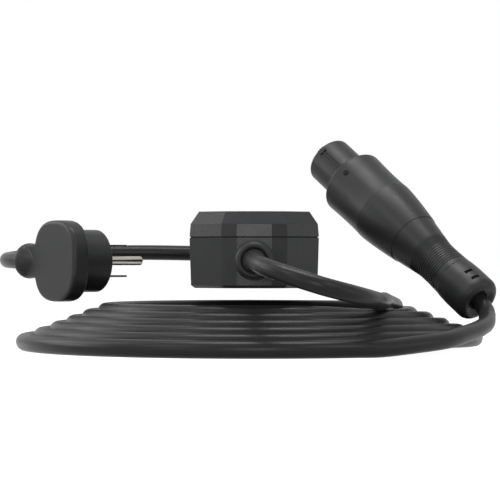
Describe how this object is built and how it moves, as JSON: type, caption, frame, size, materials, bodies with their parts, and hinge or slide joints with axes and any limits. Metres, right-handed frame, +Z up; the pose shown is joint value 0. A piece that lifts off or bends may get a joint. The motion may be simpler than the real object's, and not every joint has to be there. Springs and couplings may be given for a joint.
{
  "type": "portable_ev_charger",
  "caption": "Portable electric vehicle charger: charcoal faceted control box over its coiled black cable, with a right-angle mains plug and a straight ribbed vehicle connector",
  "frame": {"origin": "centre of the control box", "axes": "+X across the control box, +Y along it away from the charging cable's outlet, +Z up"},
  "size_m": [0.3916, 0.4147, 0.1635],
  "materials": {
    "housing": "fine satin moulding grain, charcoal",
    "moulding": "satin black moulding",
    "cable_jacket": "smooth black jacket with a soft sheen",
    "seal_rubber": "dull black rubber",
    "nickel": "warm nickel plate, softly polished",
    "steel": "zinc-plated steel",
    "smoked_lens": "glossy smoked plastic",
    "clear_guide": "clear light guide",
    "board": "green solder mask",
    "device_black": "moulded device case",
    "device_grey": "moulded terminal case",
    "winding_tape": "yellow winding tape",
    "sleeve_blue": "shrunk plastic sleeve",
    "core_brown": "insulated copper core",
    "contact_brass": "turned brass"
  },
  "bodies": {
    "root": {"box_base": "housing", "box_lid": "housing", "lid_seal": "seal_rubber", "lid_screws": "steel", "status_lens": "smoked_lens", "light_guide": "clear_guide", "outlet_gland": "moulding", "inlet_gland": "moulding", "circuit_board": "board", "board_screws": "steel", "power_relays": "device_black", "supply_transformer": "winding_tape", "capacitors": "sleeve_blue", "current_sensor": "device_black", "outlet_terminal": "device_grey", "inlet_terminal": "device_grey", "outlet_leads": "core_brown", "inlet_leads": "core_brown", "mains_cord": "cable_jacket", "outlet_cord": "cable_jacket", "cable_coil": "cable_jacket", "connector_cord": "cable_jacket", "plug_cover": "moulding", "plug_carrier": "moulding", "earth_pin": "nickel", "upper_blade": "nickel", "lower_blade": "nickel", "tail_boot": "moulding", "ribbed_grip": "moulding", "connector_sleeve": "moulding", "connector_nose": "moulding", "power_contacts": "contact_brass", "signal_contacts": "contact_brass", "lock_lens": "smoked_lens"}
  },
  "joints": []
}
